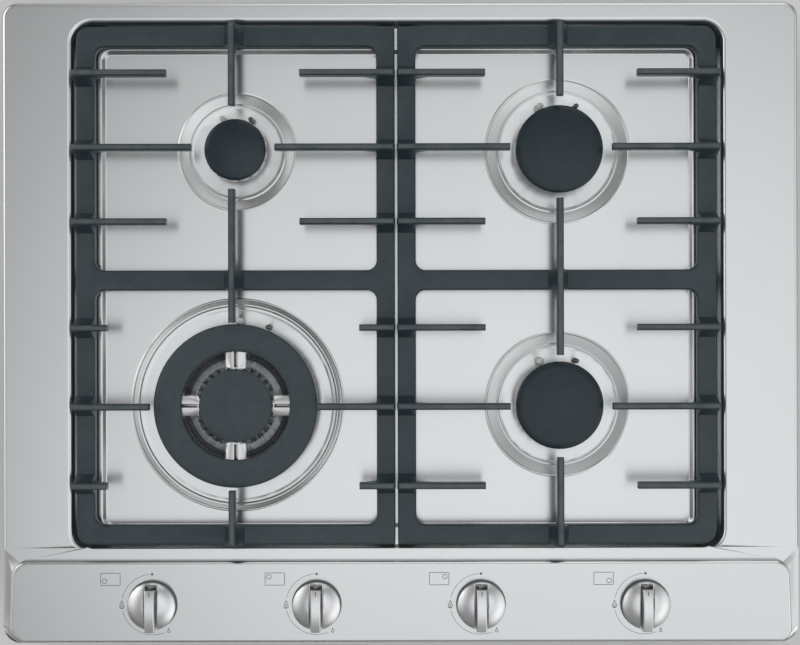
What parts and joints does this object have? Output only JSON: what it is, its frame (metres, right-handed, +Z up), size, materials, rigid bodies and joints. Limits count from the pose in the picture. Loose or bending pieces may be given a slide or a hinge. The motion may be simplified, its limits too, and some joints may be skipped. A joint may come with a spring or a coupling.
{
  "type": "gas cooktop",
  "caption": "Built-in gas cooktop: a pressed steel plate with a sunken well, round-capped burners, cast pan supports and a tilted panel with turn-and-push knobs.",
  "frame": {"origin": "middle of the plate in plan, on the underside of the case", "axes": "+X to the user's right along the plate's width, +Y to the rear, +Z up"},
  "size_m": [0.65, 0.523, 0.08],
  "materials": {
    "plate_steel": "satin brushed",
    "seal_foam": "foam tape",
    "case_steel": "zinc-coated sheet",
    "fastener_steel": "zinc-plated",
    "module_plastic": "moulded",
    "gland_plastic": "moulded",
    "manifold_steel": "zinc-plated tube",
    "brass_fitting": "machined",
    "white_ceramic": "glazed ceramic",
    "pin_steel": "drawn steel",
    "sensor_metal": "heat-darkened",
    "cast_iron": "matt black enamel",
    "foot_rubber": "heat-proof rubber",
    "cup_aluminium": "die-cast",
    "head_aluminium": "die-cast and turned",
    "pipe_aluminium": "drawn tube",
    "tap_aluminium": "die-cast",
    "cap_enamel": "semi-gloss black enamel",
    "cap_enamel_matt": "matt black enamel",
    "knob_metal": "satin",
    "knob_seal": "silicone"
  },
  "bodies": {
    "cooktop": {"top_plate": "plate_steel", "rim_seal": "seal_foam", "base_pan": "case_steel", "case_nuts": "fastener_steel", "fixing_clamps": "case_steel", "clamp_screws": "fastener_steel", "ignition_module": "module_plastic", "cable_gland": "gland_plastic", "gas_manifold": "manifold_steel", "inlet_pipe": "manifold_steel", "inlet_fitting": "brass_fitting", "inlet_nut": "brass_fitting", "manifold_straps": "case_steel", "injectors": "brass_fitting", "igniter_ceramics": "white_ceramic", "igniter_pins": "pin_steel", "knob_seals": "knob_seal", "tap_rail": "case_steel", "burner_cup_rear_left": "cup_aluminium", "feed_pipe_rear_left": "pipe_aluminium", "flame_sensor_rear_left": "sensor_metal", "burner_cup_rear_right": "cup_aluminium", "feed_pipe_rear_right": "pipe_aluminium", "flame_sensor_rear_right": "sensor_metal", "burner_cup_front_right": "cup_aluminium", "feed_pipe_front_right": "pipe_aluminium", "flame_sensor_front_right": "sensor_metal", "burner_cup_front_left": "cup_aluminium", "feed_pipe_front_left": "pipe_aluminium", "flame_sensor_front_left": "sensor_metal", "tap_body_1": "tap_aluminium", "tap_body_2": "tap_aluminium", "tap_body_3": "tap_aluminium", "tap_body_4": "tap_aluminium"},
    "support_left": {"pan_support_left": "cast_iron", "support_feet_left": "foot_rubber"},
    "support_right": {"pan_support_right": "cast_iron", "support_feet_right": "foot_rubber"},
    "head_rear_left": {"burner_head_rear_left": "head_aluminium"},
    "head_rear_right": {"burner_head_rear_right": "head_aluminium"},
    "head_front_right": {"burner_head_front_right": "head_aluminium"},
    "head_front_left": {"burner_head_front_left": "head_aluminium"},
    "cap_rear_left": {"burner_cap_rear_left": "cap_enamel"},
    "cap_rear_right": {"burner_cap_rear_right": "cap_enamel"},
    "cap_front_right": {"burner_cap_front_right": "cap_enamel"},
    "ring_cap_front_left": {"burner_ring_cap_front_left": "cap_enamel_matt"},
    "centre_cap_front_left": {"burner_centre_cap_front_left": "cap_enamel_matt"},
    "plunger_1": {"tap_plunger_1": "brass_fitting"},
    "knob_1": {"tap_spindle_1": "pin_steel", "knob_1": "knob_metal"},
    "plunger_2": {"tap_plunger_2": "brass_fitting"},
    "knob_2": {"tap_spindle_2": "pin_steel", "knob_2": "knob_metal"},
    "plunger_3": {"tap_plunger_3": "brass_fitting"},
    "knob_3": {"tap_spindle_3": "pin_steel", "knob_3": "knob_metal"},
    "plunger_4": {"tap_plunger_4": "brass_fitting"},
    "knob_4": {"tap_spindle_4": "pin_steel", "knob_4": "knob_metal"}
  },
  "joints": [
    {"name": "support_left_lift", "type": "slide", "parent": "cooktop", "child": "support_left", "axis": [0, 0, 1], "range_m": [0, 0.12]},
    {"name": "support_right_lift", "type": "slide", "parent": "cooktop", "child": "support_right", "axis": [0, 0, 1], "range_m": [0, 0.12]},
    {"name": "head_rear_left_lift", "type": "slide", "parent": "cooktop", "child": "head_rear_left", "axis": [0, 0, 1], "range_m": [0, 0.06]},
    {"name": "head_rear_right_lift", "type": "slide", "parent": "cooktop", "child": "head_rear_right", "axis": [0, 0, 1], "range_m": [0, 0.06]},
    {"name": "head_front_right_lift", "type": "slide", "parent": "cooktop", "child": "head_front_right", "axis": [0, 0, 1], "range_m": [0, 0.06]},
    {"name": "head_front_left_lift", "type": "slide", "parent": "cooktop", "child": "head_front_left", "axis": [0, 0, 1], "range_m": [0, 0.06]},
    {"name": "cap_rear_left_lift", "type": "slide", "parent": "head_rear_left", "child": "cap_rear_left", "axis": [0, 0, 1], "range_m": [0, 0.04]},
    {"name": "cap_rear_right_lift", "type": "slide", "parent": "head_rear_right", "child": "cap_rear_right", "axis": [0, 0, 1], "range_m": [0, 0.04]},
    {"name": "cap_front_right_lift", "type": "slide", "parent": "head_front_right", "child": "cap_front_right", "axis": [0, 0, 1], "range_m": [0, 0.04]},
    {"name": "ring_cap_front_left_lift", "type": "slide", "parent": "head_front_left", "child": "ring_cap_front_left", "axis": [0, 0, 1], "range_m": [0, 0.04]},
    {"name": "centre_cap_front_left_lift", "type": "slide", "parent": "head_front_left", "child": "centre_cap_front_left", "axis": [0, 0, 1], "range_m": [0, 0.04]},
    {"name": "knob_1_push", "type": "slide", "parent": "cooktop", "child": "plunger_1", "axis": [0, 0.0592, -0.9982], "range_m": [0, 0.003], "stiffness_N_per_m": 900, "springref_m": -0.003},
    {"name": "knob_1_turn", "type": "hinge", "parent": "plunger_1", "child": "knob_1", "pos_m": [-0.20215, -0.2294, 0.0579], "axis": [0, -0.0592, 0.9982], "range_deg": [0, 220]},
    {"name": "knob_2_push", "type": "slide", "parent": "cooktop", "child": "plunger_2", "axis": [0, 0.0592, -0.9982], "range_m": [0, 0.003], "stiffness_N_per_m": 900, "springref_m": -0.003},
    {"name": "knob_2_turn", "type": "hinge", "parent": "plunger_2", "child": "knob_2", "pos_m": [-0.06845, -0.2294, 0.0579], "axis": [0, -0.0592, 0.9982], "range_deg": [0, 220]},
    {"name": "knob_3_push", "type": "slide", "parent": "cooktop", "child": "plunger_3", "axis": [0, 0.0592, -0.9982], "range_m": [0, 0.003], "stiffness_N_per_m": 900, "springref_m": -0.003},
    {"name": "knob_3_turn", "type": "hinge", "parent": "plunger_3", "child": "knob_3", "pos_m": [0.06525, -0.2294, 0.0579], "axis": [0, -0.0592, 0.9982], "range_deg": [0, 220]},
    {"name": "knob_4_push", "type": "slide", "parent": "cooktop", "child": "plunger_4", "axis": [0, 0.0592, -0.9982], "range_m": [0, 0.003], "stiffness_N_per_m": 900, "springref_m": -0.003},
    {"name": "knob_4_turn", "type": "hinge", "parent": "plunger_4", "child": "knob_4", "pos_m": [0.19895, -0.2294, 0.0579], "axis": [0, -0.0592, 0.9982], "range_deg": [0, 220]}
  ]
}
